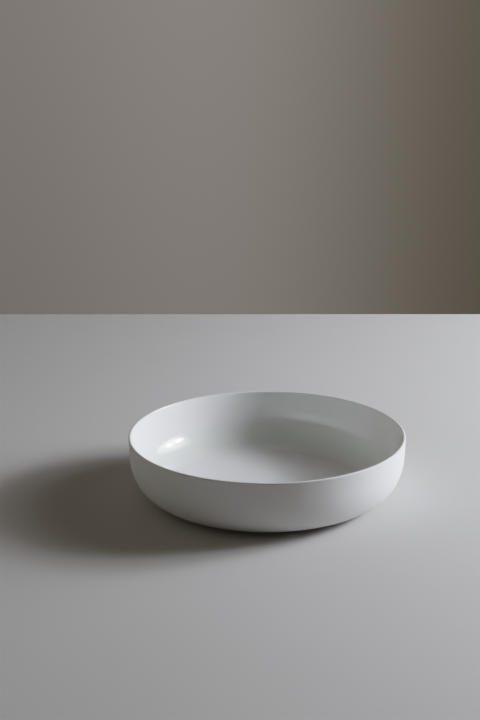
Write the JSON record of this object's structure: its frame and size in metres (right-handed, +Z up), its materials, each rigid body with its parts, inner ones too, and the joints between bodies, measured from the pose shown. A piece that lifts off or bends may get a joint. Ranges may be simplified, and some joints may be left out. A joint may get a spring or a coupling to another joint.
{
  "type": "serving bowl",
  "caption": "Low round serving bowl with a steep wall, a broad level floor, a full-round lip and a low foot ring; bare outside, glossy glaze inside.",
  "frame": {"origin": "centre of the foot ring's contact plane", "axes": "+Z up along the axis of revolution, out of the bowl's mouth; X and Y lie in the plane that the bowl stands on, and any direction in it is equal"},
  "size_m": [0.24, 0.24, 0.055],
  "materials": {
    "bare_porcelain": "matte, fine-grained, polished at the foot",
    "clear_glaze": "gloss"
  },
  "bodies": {
    "root": {"porcelain_body": "bare_porcelain", "inner_glaze": "clear_glaze"}
  },
  "joints": []
}
